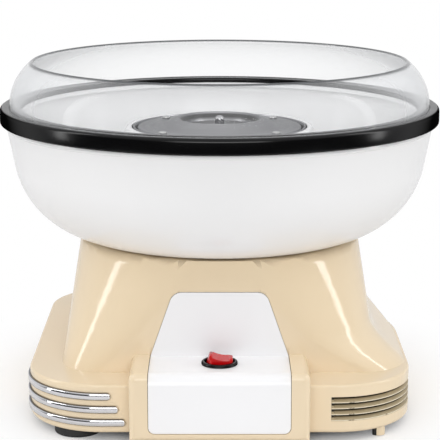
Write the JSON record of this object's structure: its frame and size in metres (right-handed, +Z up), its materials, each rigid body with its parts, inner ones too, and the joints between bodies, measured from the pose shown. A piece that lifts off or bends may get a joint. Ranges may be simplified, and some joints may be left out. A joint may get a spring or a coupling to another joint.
{
  "type": "cotton candy machine",
  "caption": "Retro table-top cotton candy machine: cream base with chrome trim and louvres, red rocker switch, white bowl with black rim and clear guard, aluminium spinning head",
  "frame": {"origin": "on the table plane, on the vertical axis of the spinning head", "axes": "+Z up along the spindle, -Y the front with the switch, +X the viewer's right"},
  "size_m": [0.3, 0.3, 0.2312],
  "materials": {
    "cream_plastic": "glossy moulded cream",
    "white_plastic": "glossy moulded white",
    "panel_white": "smooth white",
    "black_gloss": "high gloss black",
    "black_plastic": "satin black",
    "rubber_black": "matt black",
    "red_plastic": "glossy red",
    "vent_plastic": "olive beige",
    "clear_plastic": "water clear, polished",
    "chrome": "mirror chrome",
    "spun_aluminium": "satin spun",
    "steel": "bare steel",
    "plated_steel": "zinc plated",
    "ground_steel": "ground",
    "ferrite": "dark ferrite",
    "copper": "lacquered copper",
    "brass": "turned brass",
    "ceramic": "unglazed ceramic",
    "card": "brown fibre board",
    "element": "heat-dulled"
  },
  "bodies": {
    "base": {"base_housing": "cream_plastic", "bottom_cover": "black_plastic", "cover_screws": "plated_steel", "front_left_foot": "rubber_black", "rear_left_foot": "rubber_black", "rear_right_foot": "rubber_black", "foot_screws": "plated_steel", "foot_sleeve": "cream_plastic", "foot_plug": "rubber_black", "cord_gland": "rubber_black", "terminal_block": "white_plastic", "front_panel": "panel_white", "chrome_strip_upper": "chrome", "chrome_strip_middle": "chrome", "chrome_strip_lower": "chrome", "vent_grille": "vent_plastic", "switch_body": "black_gloss", "switch_pin": "steel", "switch_terminals": "brass", "heater_pan": "spun_aluminium", "pan_screws": "plated_steel", "heater_ring": "element", "heater_insulators": "ceramic", "lead_bushes": "ceramic", "heat_shield": "steel", "thermal_cutout": "card", "motor_standoffs": "plated_steel", "motor_plate": "steel", "plate_screws": "plated_steel", "motor_screws": "plated_steel", "motor_end_cap": "black_plastic", "motor_can": "steel", "motor_magnets": "ferrite", "brush_card": "card", "motor_brushes": "brass", "upper_bearing": "ground_steel", "lower_bearing": "ground_steel"},
    "rocker": {"switch_rocker": "red_plastic"},
    "spindle": {"motor_shaft": "ground_steel", "drive_pin": "ground_steel", "rotor_core": "steel", "rotor_windings": "copper", "commutator": "copper", "cooling_fan": "black_plastic"},
    "head": {"head_top": "spun_aluminium", "head_base": "spun_aluminium", "sugar_screen": "steel", "head_screws": "plated_steel", "head_spacers": "plated_steel"},
    "bowl_body": {"bowl": "white_plastic", "rim_ring": "black_gloss"},
    "guard": {"splash_guard": "clear_plastic"}
  },
  "joints": [
    {"name": "rocker_tilt", "type": "hinge", "parent": "base", "child": "rocker", "pos_m": [0, -0.1135, 0.0482], "axis": [0, -1, 0], "range_deg": [0, 20]},
    {"name": "spindle_spin", "type": "hinge", "parent": "base", "child": "spindle", "pos_m": [0, 0, 0.1], "axis": [0, 0, 1], "continuous": true},
    {"name": "head_lift", "type": "slide", "parent": "spindle", "child": "head", "axis": [0, 0, 1], "range_m": [0, 0.025]},
    {"name": "bowl_lift", "type": "slide", "parent": "base", "child": "bowl_body", "axis": [0, 0, 1], "range_m": [0, 0.085]},
    {"name": "guard_lift", "type": "slide", "parent": "bowl_body", "child": "guard", "axis": [0, 0, 1], "range_m": [0, 0.04]}
  ]
}
